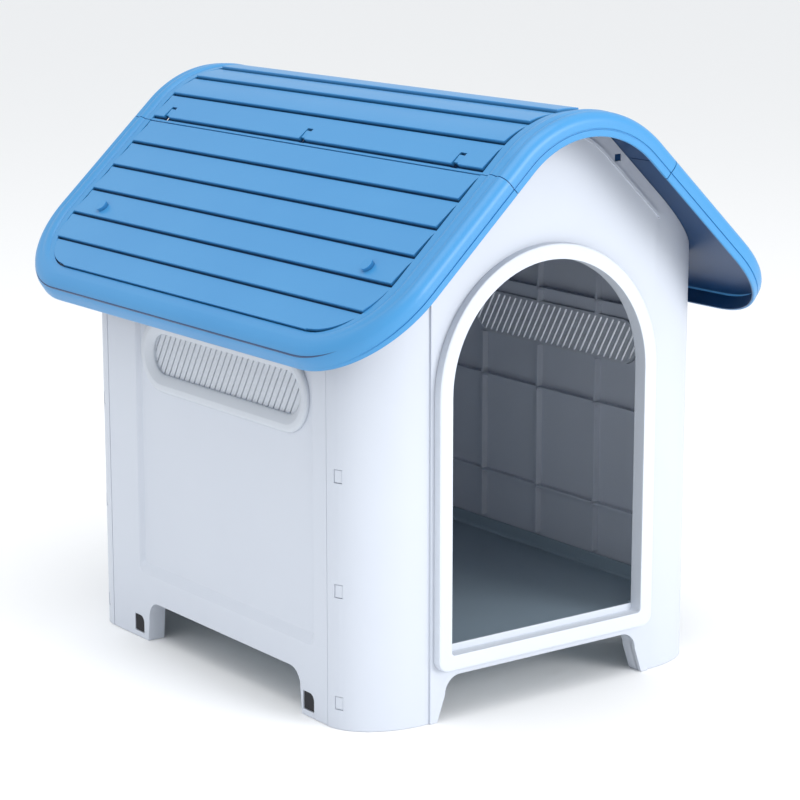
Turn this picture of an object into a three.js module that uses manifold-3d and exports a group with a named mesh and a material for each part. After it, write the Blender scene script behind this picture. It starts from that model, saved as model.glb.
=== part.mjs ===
// A moulded plastic pet kennel: four wall panels on corner feet, a floor tray, slatted vents and
// a roof of three mouldings. The ridge cap is fixed and each slope is a lid that lifts at its seam.
// Millimetres, +Z up, door towards -Y. The origin is on the ground, under the middle of the roof.
import * as THREE from "three";
import { mergeVertices } from "three/addons/utils/BufferGeometryUtils.js";
import Module from "manifold-3d";

const wasm = await Module();
wasm.setup();

// Driving dimensions: clearances
const gap = 0.3; // between pieces that touch
const seamGap = 1; // between the ridge cap and a roof panel
const wallToRoof = 0.5; // from the top of a wall to the roof's underside
const windowClearance = 0.4; // round a clip or a nub in its window
const merge = 1; // how far bodies that are joined run into each other
const past = 20; // how far a cutting body runs past what it cuts

// Roof
const roofLength = 740;
const ridgeTop = 660;
const pitch = THREE.MathUtils.degToRad(43);
const archRadius = 145; // outer radius of the ridge
const eaveReach = 65.18; // from the outside of the walls to the eave
const seamOffset = 30; // from the end of the arch to the seam
const roofThick = 7.5; // from the rim's crest to the underside
const skirtDepth = 27; // turned-down edge, square to the roof
const skirtWall = 4;
const edgeRound = 8;
const eaveCorner = 118;
const fieldSink = 4.5; // floor of the planked field, below the rim's crest
const plankLow = 4; // upper edge of a plank, below the rim's crest
const plankHigh = 0.5; // lower edge of a plank, below the rim's crest
const plankPitch = 39;
const ridgeBoard = 33;
const lidFirstPlank = 37; // from the seam to the first plank edge on a lid
const fieldBorder = 42; // from the gable end to the planked field
const fieldEave = 33; // from the eave to the planked field
const fieldCorner = 75;

// Hinge tongues under the seam
const tongueReach = 20; // past the seam, under the ridge cap
const tongueRoot = 12;
const tongueWidth = 9;
const tongueThick = 4.5;
const tongueBelow = 1; // under the ridge cap
const nubLong = 10.5;
const nubTop = 2; // below the rim's crest
const slotPlay = 1; // each side of a nub
const slotEnd = 3.5; // past the nub's tip
const slotStart = 3; // from the seam
const tongueInset = 9; // front tongue, behind the front wall's inner face
const tongueOutset = 11; // rear tongue, beyond the rear wall's face
const tongueMiddle = 4;

// Lock pegs
const pegInsetSide = 25.88; // from the outside of the walls
const pegInsetFront = 16.5; // from a gable wall's inner face
const pegInsetRear = 6.5;
const pegHead = 7;
const pegHeadTop = 3; // below the rim's crest
const pegHeadTall = 2.5;
const pegShank = 4;
const pegReach = 20; // below the rim's crest
const pegFit = 0.4; // round a peg in its roof panel
const socketPlay = 2; // lets a peg leave along the arc of the lid
const socketWall = 3;
const socketDeep = 22; // below the rim's crest

// Walls
const bodyHalf = 248;
const gableOverhang = 77.5; // of the roof, at the front
const rearOverhang = 87.5;
const cornerY = 60.5; // quarter-ellipse corner columns
const cornerFromFace = 6; // from the raised face to the start of a column
const wall = 4.5;
const faceRise = 2.5;
const faceMargin = 4.5; // outside the door surround
const faceBelowRoof = 25;
const footHeight = 50;
const footRound = 20;
const gableGapHalf = 137; // between the feet of a gable panel
const gableFlare = 11;
const sideFootFront = 52;
const sideFootRear = 82.5;
const sideFlare = 3;
const sideThick = 9;
const recessDeep = 5;
const recessSlope = 6;
const recessFromFront = 26; // from the front seam
const recessFromRear = 64; // from the rear seam
const recessBottom = 83;
const recessBelowTop = 29; // from the top of the wall
const ribTall = 8;
const ribWide = 3;
const ribSpacing = 108.5;
const ribLevels = [148, 273, 398];
const ribFromSeam = 10;
const ribAboveFloor = 4; // from the rim of the floor tray
const footReturn = 3; // thickness of the flange turned inwards round a foot gap
const gableReturn = 19; // its depth, from the outside of the wall
const sideReturn = 22;
const ledgeTop = 63.5;
const ledgeThick = 7.5;
const ledgeWide = 20;

// Snap tabs on the side panels, and their windows in the columns
const snapLevels = [29, 154, 280];
const snapTall = 15;
const snapLong = 10;
const snapFromSeam = 11;
const snapThick = 3.5;
const snapSunk = 1; // a nub's face, below the outside of the column
const strapSpare = 3; // of a tab, round its nub

// Clips that hold the ridge cap on the gable walls
const clipFromSeam = 15.35; // from the cap's lower corner at the seam
const clipBelowRoof = 13.25; // middle of its window, below the roof's underside
const clipWindowWide = 9;
const clipWindowTall = 8;
const clipWide = 14;
const clipThick = 2.7;
const clipProud = 0.5; // a nub's end, beyond the outside of the wall

// Door
const doorHalf = 135;
const doorSill = 76;
const doorSpring = 360;
const doorCorner = 4;
const surroundWide = 17.5;
const surroundProud = 10.2;
const sleeveWall = 3;
const sleeveFit = 0.5;
const sillLipTall = 7.5; // upturned inner edge of the threshold
const sillLipThick = 2;

// Vents
const ventBelowRecess = 88; // from the top of the recess to the middle
const ventHalfLength = 170;
const ventHalfTall = 43;
const ventRim = 19;
const ventProud = 4.7;
const ventInside = 3.5; // how far a vent's neck stands inside the panel
const slatPitch = 10.8; // along the vent
const slatWide = 5.6;
const slatThick = 3;
const slatLean = THREE.MathUtils.degToRad(30);

// Floor tray
const floorPlaySide = 2; // from the inside of a side panel
const floorPlayEnd = 1.5;
const floorUnder = 64;
const floorTop = 68;
const floorRimTop = 84;
const floorRimWall = 3;
const floorDoorTop = 74; // the rim behind the threshold

// Foot plugs
const plugWide = 12;
const plugTall = 28;
const plugFromEdge = 2;
const plugSunk = 1; // the nose's end, below the outside of the panel
const footWindow = 20;
const footWindowHeight = 17;
const footWindowFront = 36.5; // from the seam to its middle
const footWindowRear = 59;

// Worked out from those
const roofHalf = roofLength / 2;
const fieldHalf = roofHalf - fieldBorder;
const archLength = archRadius * pitch;
const archCentre = ridgeTop - archRadius;
const archHalf = archRadius * Math.sin(pitch); // half width of the arch
const seamAt = archLength + seamOffset; // measured over the roof from the ridge
const slopeLength = (bodyHalf + eaveReach - archHalf) / Math.cos(pitch);
const pegFromSeam = (bodyHalf - pegInsetSide - archHalf) / Math.cos(pitch) - seamOffset;
const lidLength = slopeLength - seamOffset;
const wallTop = roofThick + wallToRoof; // below the roof's outer face
const bodyFront = gableOverhang - roofHalf;
const bodyRear = roofHalf - rearOverhang;
const faceHalf = doorHalf + surroundWide + faceMargin;
const cornerX = bodyHalf - faceHalf - cornerFromFace;
const seamFront = bodyFront + cornerY;
const seamRear = bodyRear - cornerY;
const innerFront = bodyFront + wall;
const innerRear = bodyRear - wall;
const innerSide = bodyHalf - sideThick;
const recessFront = seamFront + recessFromFront;
const recessRear = seamRear - recessFromRear;
const sideTop = archCentre + (archRadius - wallTop) / Math.cos(pitch) - bodyHalf * Math.tan(pitch);
const recessTop = sideTop - recessBelowTop;
const ventMiddle = (recessFront + recessRear) / 2;
const ventHeight = recessTop - ventBelowRecess;
const clipX =
  (archRadius - roofThick) * Math.sin(pitch) +
  (seamOffset - seamGap / 2) * Math.cos(pitch) -
  clipFromSeam;
const clipHeight =
  archCentre +
  (archRadius - roofThick) / Math.cos(pitch) -
  clipX * Math.tan(pitch) -
  clipBelowRoof;
const floorInsetSide = sideThick + floorPlaySide; // from the outside of the walls
const floorInsetEnd = wall + floorPlayEnd;
const far = 1000; // beyond the kennel on every side

// Colours
const roofBlue = 0x62a8de;
const panelWhite = 0xe6ecf3;
const floorGrey = 0x8b979f;
const rubberBlack = 0x2b2b2e;

const roundSides = 16; // of a peg, a hole or a boss

// Solids
function solid(geometry) {
  const bare = geometry.index ? geometry.toNonIndexed() : geometry.clone();
  bare.deleteAttribute("normal");
  bare.deleteAttribute("uv");
  const merged = mergeVertices(bare, 1e-4);
  return new wasm.Manifold(
    new wasm.Mesh({
      numProp: 3,
      vertProperties: merged.attributes.position.array,
      triVerts: new Uint32Array(merged.index.array),
    }),
  );
}

function geometryOf(body) {
  const mesh = body.getMesh();
  const places = new Float32Array(mesh.numVert * 3);
  for (let i = 0; i < mesh.numVert; i++) {
    for (let k = 0; k < 3; k++) places[3 * i + k] = mesh.vertProperties[mesh.numProp * i + k];
  }
  const geometry = new THREE.BufferGeometry();
  geometry.setAttribute("position", new THREE.BufferAttribute(places, 3));
  geometry.setIndex(new THREE.BufferAttribute(mesh.triVerts, 1));
  const faceted = geometry.toNonIndexed();
  faceted.computeVertexNormals();
  return faceted;
}

function joined(bodies) {
  return bodies.reduce((all, next) => all.add(next));
}

function mirrored(body) {
  return body.transform(new THREE.Matrix4().makeScale(-1, 1, 1).elements);
}

// Corners are given in any order.
function box(xa, xb, ya, yb, za, zb) {
  const size = [Math.abs(xb - xa), Math.abs(yb - ya), Math.abs(zb - za)];
  const geometry = new THREE.BoxGeometry(...size);
  geometry.translate((xa + xb) / 2, (ya + yb) / 2, (za + zb) / 2);
  return solid(geometry);
}

function disc(x, y, radius, z0, z1) {
  const geometry = new THREE.CylinderGeometry(radius, radius, z1 - z0, roundSides);
  geometry.rotateX(Math.PI / 2);
  geometry.translate(x, y, (z0 + z1) / 2);
  return solid(geometry);
}

function extruded(shape, length, steps) {
  return new THREE.ExtrudeGeometry(shape, {
    depth: length,
    bevelEnabled: false,
    curveSegments: steps,
  });
}

// An outline drawn in X and Y, from z0 to z1.
function upright(shape, z0, z1, steps = 8) {
  const geometry = extruded(shape, z1 - z0, steps);
  geometry.translate(0, 0, z0);
  return solid(geometry);
}

// An outline drawn in X and Z, along Y from ya to yb in either order.
function alongY(shape, ya, yb, steps = 8) {
  const geometry = extruded(shape, Math.abs(yb - ya), steps);
  geometry.rotateX(Math.PI / 2);
  geometry.translate(0, Math.max(ya, yb), 0);
  return solid(geometry);
}

// An outline drawn in Y and Z, along X from x0 to x1.
function alongX(shape, x0, x1, steps = 6) {
  const geometry = extruded(shape, x1 - x0, steps);
  geometry.rotateX(Math.PI / 2);
  geometry.rotateZ(Math.PI / 2);
  geometry.translate(x0, 0, 0);
  return solid(geometry);
}

function polygon(points) {
  return new THREE.Shape(points.map(([x, y]) => new THREE.Vector2(x, y)));
}

function roundedRectangle(x0, x1, y0, y1, radius) {
  const shape = new THREE.Shape();
  shape.moveTo(x0 + radius, y0);
  shape.lineTo(x1 - radius, y0);
  shape.absarc(x1 - radius, y0 + radius, radius, -Math.PI / 2, 0);
  shape.lineTo(x1, y1 - radius);
  shape.absarc(x1 - radius, y1 - radius, radius, 0, Math.PI / 2);
  shape.lineTo(x0 + radius, y1);
  shape.absarc(x0 + radius, y1 - radius, radius, Math.PI / 2, Math.PI);
  shape.lineTo(x0, y0 + radius);
  shape.absarc(x0 + radius, y0 + radius, radius, Math.PI, 1.5 * Math.PI);
  return shape;
}

// The roof's section. A point of it is given by how far over the roof it lies from the ridge,
// and by how far it is sunk below the rim's crest.
function roofPoint(over, sink) {
  const side = Math.sign(over) || 1;
  const angle = Math.min(Math.abs(over) / archRadius, pitch);
  const down = Math.max(Math.abs(over) - archLength, 0);
  const radius = archRadius - sink;
  const x = radius * Math.sin(angle) + down * Math.cos(pitch);
  const z = archCentre + radius * Math.cos(angle) - down * Math.sin(pitch);
  return [side * x, z];
}

// Where the section is sampled, from -reach to reach: evenly over the arch, and at both ends.
function roofMarks(reach, steps = 16) {
  const arch = Array.from({ length: steps + 1 }, (_, i) => archLength * ((2 * i) / steps - 1));
  return [-reach, ...arch, reach];
}

// Everything under the roof, down to the ground, as seen from the front.
function underRoof(sink) {
  const top = roofMarks(seamAt + lidLength).map((over) => roofPoint(over, sink));
  const [eaveX] = top[top.length - 1];
  return polygon([[-eaveX, -past], [eaveX, -past], ...top.reverse()]);
}

// A section drawn in Y and in height above the rim's crest, swept over the ridge.
function overRidge(section, reach) {
  const marks = roofMarks(reach);
  const count = section.length;
  const places = marks.flatMap((over) =>
    section.flatMap(([y, up]) => {
      const [x, z] = roofPoint(over, -up);
      return [x, y, z];
    }),
  );
  const faces = [];
  for (let i = 0; i < marks.length - 1; i++) {
    for (let j = 0; j < count; j++) {
      const a = i * count + j;
      const b = i * count + ((j + 1) % count);
      faces.push(a, b, b + count, a, b + count, a + count);
    }
  }
  const outline = section.map(([y, up]) => new THREE.Vector2(y, up));
  const last = (marks.length - 1) * count;
  THREE.ShapeUtils.triangulateShape(outline, []).forEach(([a, b, c]) => {
    faces.push(a, c, b, last + a, last + b, last + c);
  });
  const geometry = new THREE.BufferGeometry();
  geometry.setAttribute("position", new THREE.Float32BufferAttribute(places, 3));
  geometry.setIndex(faces);
  return solid(geometry);
}

// A lid's own frame: X runs down the slope from the seam, and Z stands square to it.
function onSlope(body) {
  const frame = new THREE.Matrix4().makeRotationY(pitch);
  const [x, z] = roofPoint(seamAt, 0);
  frame.setPosition(x, 0, z);
  return body.transform(frame.elements);
}

// Roof
// A lid in plan, open towards the seam: its eave and ends are set in, its corners rounded.
function lidOutline(start, endInset, sideInset, corner) {
  const end = lidLength - endInset;
  const half = roofHalf - sideInset;
  const shape = new THREE.Shape();
  shape.moveTo(start, -half);
  shape.lineTo(end - corner, -half);
  shape.absarc(end - corner, -half + corner, corner, -Math.PI / 2, 0);
  shape.lineTo(end, half - corner);
  shape.absarc(end - corner, half - corner, corner, 0, Math.PI / 2);
  shape.lineTo(start, half);
  return shape;
}

// The outside of a lid, with its edge rounded.
function lidBlock() {
  const outline = lidOutline(-3 * edgeRound, edgeRound, edgeRound, eaveCorner - edgeRound);
  const geometry = new THREE.ExtrudeGeometry(outline, {
    depth: skirtDepth,
    bevelThickness: edgeRound,
    bevelSize: edgeRound,
    bevelSegments: 3,
    curveSegments: 10,
  });
  geometry.translate(0, 0, -skirtDepth - edgeRound);
  return solid(geometry).intersect(box(seamGap / 2, far, -far, far, -skirtDepth, edgeRound));
}

function lidPlanks() {
  const start = seamGap / 2;
  const end = lidLength - fieldEave;
  const under = -fieldSink - merge / 2;
  const section = [[start, under], [end, under]];
  const edges = [];
  for (let edge = lidFirstPlank; edge < end - plankPitch / 2; edge += plankPitch) edges.push(edge);
  edges.push(end);
  edges.reverse().forEach((edge, i) => {
    section.push([edge, -plankHigh]);
    const above = edges[i + 1] ?? start;
    section.push([above, -plankLow]);
  });
  const field = lidOutline(start, fieldEave, fieldBorder, fieldCorner);
  return alongY(polygon(section), -far, far).intersect(upright(field, -roofThick, merge, 8));
}

const tonguePlaces = [
  innerFront + tongueInset,
  tongueMiddle,
  bodyRear + faceRise + tongueOutset,
];
const pegPlaces = [innerFront + pegInsetFront, innerRear - pegInsetRear];

function roofLid() {
  const cavity = lidOutline(-skirtWall, skirtWall, skirtWall, eaveCorner - skirtWall);
  const field = lidOutline(-skirtWall, fieldEave, fieldBorder, fieldCorner);
  let lid = lidBlock()
    .subtract(upright(cavity, -skirtDepth - past, -roofThick, 10))
    .subtract(upright(field, -fieldSink, past, 8))
    .add(lidPlanks());
  const top = -roofThick - tongueBelow;
  tonguePlaces.forEach((y) => {
    const y0 = y - tongueWidth / 2;
    const y1 = y + tongueWidth / 2;
    const strip = box(-tongueReach, tongueRoot, y0, y1, top - tongueThick, top);
    const nub = box(-tongueReach, nubLong - tongueReach, y0, y1, top - merge, -nubTop);
    const root = box(2 * seamGap, tongueRoot, y0, y1, top - merge, merge / 2 - roofThick);
    lid = lid.add(strip).add(nub).add(root);
  });
  pegPlaces.forEach((y) => {
    const floor = -pegHeadTop - pegHeadTall - gap;
    lid = lid.subtract(disc(pegFromSeam, y, pegHead + pegFit, floor, past));
    lid = lid.subtract(disc(pegFromSeam, y, pegShank + pegFit, -skirtDepth, past));
  });
  return onSlope(lid);
}

function lockPeg(y) {
  const under = -pegHeadTop - pegHeadTall;
  const head = disc(pegFromSeam, y, pegHead, under, -pegHeadTop);
  return onSlope(head.add(disc(pegFromSeam, y, pegShank, -pegReach, under + merge)));
}

// Half of the rounded edge, from the outside up to the crest.
function roundedEdge(side) {
  const turns = [0, 1, 2, 3].map((i) => (i * Math.PI) / 6);
  const arc = turns.map((t) => [
    side * (roofHalf - edgeRound * (1 - Math.cos(t))),
    edgeRound * (Math.sin(t) - 1),
  ]);
  return side > 0 ? arc : arc.reverse();
}

function capPlanks(reach) {
  const wedges = [];
  let start = ridgeBoard / 2;
  while (start < reach) {
    const end = Math.min(start + plankPitch, reach);
    const share = (end - start) / plankPitch;
    const steps = Math.max(1, Math.round(share * 4));
    for (let i = 0; i <= steps; i++) {
      const part = (i / steps) * share;
      wedges.push([start + part * plankPitch, plankLow + part * (plankHigh - plankLow)]);
    }
    start = end;
  }
  const half = wedges.map(([over, sink]) => roofPoint(over, sink));
  const board = [-1, 0, 1].map((k) => roofPoint((k * ridgeBoard) / 2, plankHigh));
  const other = half.map(([x, z]) => [-x, z]).reverse();
  const under = roofMarks(reach).map((over) => roofPoint(over, fieldSink + merge / 2));
  const shape = polygon([...other, ...board, ...half, ...under.reverse()].reverse());
  return alongY(shape, -fieldHalf, fieldHalf);
}

// A clip under the ridge cap, whose nub shows in the gable wall's window.
function capClip(outward) {
  const inner = outward < 0 ? innerFront : innerRear;
  const face = inner - outward * gap;
  const strip = box(clipX - clipWide / 2, clipX + clipWide / 2, face, face - outward * clipThick,
    clipHeight - clipWindowTall, ridgeTop);
  const wide = clipWindowWide / 2 - windowClearance;
  const tall = clipWindowTall / 2 - windowClearance;
  const nub = box(clipX - wide, clipX + wide, face - outward * merge,
    inner + outward * (wall + clipProud), clipHeight - tall, clipHeight + tall);
  return strip.add(nub).intersect(alongY(underRoof(roofThick - merge), -far, far));
}

function ridgeCap() {
  const reach = seamAt - seamGap / 2;
  const skirtIn = roofHalf - skirtWall;
  const section = [
    [roofHalf, -skirtDepth],
    ...roundedEdge(1),
    [fieldHalf, 0],
    [fieldHalf, -fieldSink],
    [-fieldHalf, -fieldSink],
    [-fieldHalf, 0],
    ...roundedEdge(-1),
    [-roofHalf, -skirtDepth],
    [-skirtIn, -skirtDepth],
    [-skirtIn, -roofThick],
    [skirtIn, -roofThick],
    [skirtIn, -skirtDepth],
  ];
  let cap = overRidge(section, reach).add(capPlanks(reach));
  tonguePlaces.forEach((y) => {
    const half = tongueWidth / 2 + slotPlay;
    const slot = onSlope(box(-tongueReach - slotEnd, -slotStart, y - half, y + half,
      -roofThick - merge, edgeRound));
    cap = cap.subtract(slot).subtract(mirrored(slot));
  });
  const clips = joined([capClip(-1), capClip(1)]);
  return cap.add(clips).add(mirrored(clips));
}

// Walls
// The walls in plan, set in from the outside: a rectangle with quarter-ellipse corners.
function bodyPlan(insetX, insetY = insetX) {
  const x = bodyHalf - insetX;
  const front = bodyFront + insetY;
  const rear = bodyRear - insetY;
  const rx = cornerX - insetX;
  const ry = cornerY - insetY;
  const shape = new THREE.Shape();
  shape.moveTo(-x + rx, front);
  shape.lineTo(x - rx, front);
  shape.absellipse(x - rx, front + ry, rx, ry, -Math.PI / 2, 0);
  shape.lineTo(x, rear - ry);
  shape.absellipse(x - rx, rear - ry, rx, ry, 0, Math.PI / 2);
  shape.lineTo(-x + rx, rear);
  shape.absellipse(-x + rx, rear - ry, rx, ry, Math.PI / 2, Math.PI);
  shape.lineTo(-x, front + ry);
  shape.absellipse(-x + rx, front + ry, rx, ry, Math.PI, 1.5 * Math.PI);
  return shape;
}

function wallRing(outer, inner, z0, z1) {
  const hollow = upright(bodyPlan(inner), z0 - past, z1 + past, 6);
  return upright(bodyPlan(outer), z0, z1, 6).subtract(hollow);
}

// The gap between two feet, drawn across the panel and upwards, and grown outwards if asked.
function footGap(from, to, flare, grow = 0) {
  const shape = new THREE.Shape();
  const turn = footHeight - footRound;
  const round = footRound + grow;
  const x0 = from - grow;
  const x1 = to + grow;
  shape.moveTo(x0 - flare, -merge);
  shape.lineTo(x1 + flare, -merge);
  shape.lineTo(x1, turn);
  shape.absarc(x1 - round, turn, round, 0, Math.PI / 2);
  shape.lineTo(x0 + round, turn + round);
  shape.absarc(x0 + round, turn, round, Math.PI / 2, Math.PI);
  return shape;
}

function doorOutline(grow) {
  const half = doorHalf + grow;
  const sill = doorSill - grow;
  const round = doorCorner + Math.max(grow, 0) / 2;
  const shape = new THREE.Shape();
  shape.moveTo(-half + round, sill);
  shape.lineTo(half - round, sill);
  shape.absarc(half - round, sill + round, round, -Math.PI / 2, 0);
  shape.lineTo(half, doorSpring);
  shape.absarc(0, doorSpring, half, 0, Math.PI);
  shape.lineTo(-half, sill + round);
  shape.absarc(-half + round, sill + round, round, Math.PI, 1.5 * Math.PI);
  return shape;
}

// The boss that takes a lock peg: it reaches into the corner column's wall.
function pegSocket(y) {
  const radius = pegShank + socketPlay + socketWall;
  const boss = disc(pegFromSeam, y, radius, -socketDeep, -wallTop - wallToRoof);
  return onSlope(boss).intersect(upright(bodyPlan(merge), 0, ridgeTop, 6));
}

function pegHole(y) {
  return onSlope(disc(pegFromSeam, y, pegShank + socketPlay, -socketDeep - past, 0));
}

// A gable panel with its two corner columns. Outward is -1 at the front and 1 at the rear.
function gablePanel(outward) {
  const outer = outward < 0 ? bodyFront : bodyRear;
  const seam = (outward < 0 ? seamFront : seamRear) + (outward * gap) / 2;
  const region = box(-far, far, seam, outer + outward * past, 0, ridgeTop);
  const roofLine = alongY(underRoof(wallTop), -far, far);
  const shell = wallRing(0, wall, 0, ridgeTop).intersect(region).intersect(roofLine);
  const strip = polygon([[-faceHalf, 0], [faceHalf, 0], [faceHalf, ridgeTop], [-faceHalf, ridgeTop]]);
  const raised = alongY(strip, outer - outward * merge, outer + outward * faceRise).intersect(
    alongY(underRoof(faceBelowRoof), -far, far),
  );
  const ledge = wallRing(wall - merge, ledgeWide, ledgeTop - ledgeThick, ledgeTop).intersect(region);
  const feet = [-gableGapHalf, gableGapHalf, gableFlare];
  const middle = gableGapHalf - footRound;
  const flange = alongY(footGap(...feet, footReturn), outer - outward * merge,
    outer - outward * gableReturn)
    .subtract(box(-middle, middle, -far, far, -past, footHeight + past))
    .intersect(region);
  const pegY = outward < 0 ? pegPlaces[0] : pegPlaces[1];
  const socket = pegSocket(pegY);
  const hole = pegHole(pegY);
  let panel = joined([shell, raised, ledge, flange, socket, mirrored(socket)]);
  panel = panel.subtract(hole).subtract(mirrored(hole));
  panel = panel.subtract(alongY(footGap(...feet), -far, far));
  const near = seam + outward * (snapFromSeam - gap / 2);
  snapLevels.forEach((z) => {
    const window = box(bodyHalf - cornerX, far, near, near + outward * snapLong,
      z - snapTall / 2, z + snapTall / 2);
    panel = panel.subtract(window).subtract(mirrored(window));
  });
  const clipWindow = box(clipX - clipWindowWide / 2, clipX + clipWindowWide / 2,
    outer + outward * past, outer - outward * (wall + merge),
    clipHeight - clipWindowTall / 2, clipHeight + clipWindowTall / 2);
  return panel.subtract(clipWindow).subtract(mirrored(clipWindow));
}

function frontPanel() {
  const opening = alongY(doorOutline(sleeveWall + sleeveFit), bodyFront - past, 0, 12);
  return gablePanel(-1).subtract(opening);
}

function doorSurround() {
  const back = bodyFront - faceRise - gap;
  const front = back - surroundProud;
  const inner = innerFront - gap;
  const band = alongY(doorOutline(surroundWide), front, back, 12);
  const sleeve = alongY(doorOutline(sleeveWall), front, inner, 12);
  const lip = box(-doorHalf - merge, doorHalf + merge, inner - sillLipThick, inner,
    doorSill - merge, doorSill + sillLipTall);
  return band.add(sleeve).subtract(alongY(doorOutline(0), front - past, 0, 12)).add(lip);
}

// A tab at the end of a side panel. It lies inside the column, with its nub in a window.
function snapTab(seam, outward, z) {
  const root = seam - outward * snapFromSeam;
  const near = seam + outward * (snapFromSeam + windowClearance);
  const tip = seam + outward * (snapFromSeam + snapLong - windowClearance);
  const tall = snapTall / 2;
  const strap = box(0, far, root, tip + outward * strapSpare, z - tall - strapSpare,
    z + tall + strapSpare);
  const nub = box(0, far, near, tip, z - tall + windowClearance, z + tall - windowClearance);
  const layer = wallRing(wall + gap, wall + gap + snapThick, z - snapTall, z + snapTall);
  const through = wallRing(snapSunk, wall + gap + merge, z - snapTall, z + snapTall);
  return layer.intersect(strap).add(through.intersect(nub));
}

function stadium(halfLength, halfTall) {
  return roundedRectangle(ventMiddle - halfLength, ventMiddle + halfLength,
    ventHeight - halfTall, ventHeight + halfTall, halfTall - 0.01);
}

function recess() {
  const outline = roundedRectangle(recessFront + recessSlope, recessRear - recessSlope,
    recessBottom + recessSlope, recessTop - recessSlope, recessSlope);
  const geometry = new THREE.ExtrudeGeometry(outline, {
    depth: sideThick,
    bevelThickness: recessDeep,
    bevelSize: recessSlope,
    bevelSegments: 1,
    curveSegments: 4,
  });
  geometry.rotateX(Math.PI / 2);
  geometry.rotateZ(Math.PI / 2);
  geometry.translate(bodyHalf, 0, 0);
  return solid(geometry);
}

function sidePanel() {
  const y0 = seamFront + gap / 2;
  const y1 = seamRear - gap / 2;
  const ribX = innerSide - ribTall;
  const ribs = [-1, 0, 1].map((k) => {
    const y = k * ribSpacing;
    return box(ribX, innerSide + merge, y - ribWide / 2, y + ribWide / 2,
      floorRimTop + ribAboveFloor, ridgeTop);
  });
  ribLevels.forEach((z) => {
    ribs.push(box(ribX, innerSide + merge, y0 + ribFromSeam, y1 - ribFromSeam,
      z - ribWide / 2, z + ribWide / 2));
  });
  const ledge = box(bodyHalf - ledgeWide, innerSide + merge, y0, y1, ledgeTop - ledgeThick, ledgeTop);
  const hole = sleeveWall + windowClearance - ventRim;
  const vent = alongX(stadium(ventHalfLength + hole, ventHalfTall + hole), innerSide - past, far);
  const feet = [y0 + sideFootFront, y1 - sideFootRear, sideFlare];
  const flange = alongX(footGap(...feet, footReturn), bodyHalf - sideReturn, bodyHalf - merge)
    .subtract(box(0, far, feet[0] + footRound, feet[1] - footRound, -past, footHeight + past))
    .intersect(box(0, far, y0, y1, 0, ridgeTop));
  const half = footWindow / 2;
  let panel = joined([box(innerSide, bodyHalf, y0, y1, 0, ridgeTop), ledge, flange, ...ribs])
    .subtract(recess())
    .subtract(vent)
    .subtract(alongX(footGap(...feet), 0, far))
    .intersect(alongY(underRoof(wallTop), -far, far));
  plugPlaces.forEach((y) => {
    panel = panel.subtract(box(innerSide - merge, far, y - half, y + half,
      footWindowHeight - half, footWindowHeight + half));
  });
  snapLevels.forEach((z) => {
    panel = panel.add(snapTab(seamFront, -1, z)).add(snapTab(seamRear, 1, z));
  });
  return panel;
}

function ventGrille() {
  const back = bodyHalf - recessDeep + gap;
  const open = stadium(ventHalfLength - ventRim, ventHalfTall - ventRim);
  const rim = alongX(stadium(ventHalfLength, ventHalfTall), back, back + ventProud);
  const neckGrow = sleeveWall - ventRim;
  const inner = innerSide - ventInside;
  const neck = alongX(stadium(ventHalfLength + neckGrow, ventHalfTall + neckGrow), inner, back + merge);
  const frame = rim.add(neck).subtract(alongX(open, inner - past, far));
  const slats = [];
  const reach = ventHalfLength - ventRim;
  for (let y = -reach; y <= reach; y += slatPitch) {
    const geometry = new THREE.BoxGeometry(slatThick, slatWide, 2 * ventHalfTall);
    geometry.rotateX(slatLean);
    geometry.translate(inner + gap + slatThick / 2, ventMiddle + y, ventHeight);
    slats.push(solid(geometry));
  }
  const clip = stadium(reach + merge, ventHalfTall - ventRim + merge);
  return frame.add(joined(slats).intersect(alongX(clip, 0, far)));
}

function floorTray() {
  const outer = bodyPlan(floorInsetSide, floorInsetEnd);
  const inner = bodyPlan(floorInsetSide + floorRimWall, floorInsetEnd + floorRimWall);
  const doorCut = box(-doorHalf, doorHalf, bodyFront, bodyFront + 2 * cornerY, floorDoorTop, far);
  return upright(outer, floorUnder, floorRimTop, 8)
    .subtract(upright(inner, floorTop, floorRimTop + past, 8))
    .subtract(doorCut);
}

// Foot plugs
const plugPlaces = [seamFront + footWindowFront, seamRear - footWindowRear];

function footPlug(end) {
  const rear = end > 0;
  const seam = rear ? seamRear : seamFront;
  const edge = rear ? seamRear - sideFootRear : seamFront + sideFootFront;
  const outer = innerSide - gap;
  const inward = rear ? -1 : 1;
  const fromEdge = sideFlare + footReturn + gap;
  const block = box(outer - plugWide, outer, seam + inward * plugFromEdge,
    edge - inward * fromEdge, 0, plugTall);
  const nose = footWindow / 2 - windowClearance;
  const y = plugPlaces[rear ? 1 : 0];
  return block.add(box(outer - merge, bodyHalf - plugSunk, y - nose, y + nose,
    footWindowHeight - nose, footWindowHeight + nose));
}

// The kennel
const kennel = new THREE.Group();

function place(name, body, colour, roughness) {
  const material = new THREE.MeshStandardMaterial({ color: colour, roughness, metalness: 0 });
  const mesh = new THREE.Mesh(geometryOf(body), material);
  mesh.name = name;
  kennel.add(mesh);
}

// A piece that is made on the right and stands mirrored on the left.
function placePair(name, body, colour, roughness) {
  place(name.replace("SIDE", "right"), body, colour, roughness);
  place(name.replace("SIDE", "left"), mirrored(body), colour, roughness);
}

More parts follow.
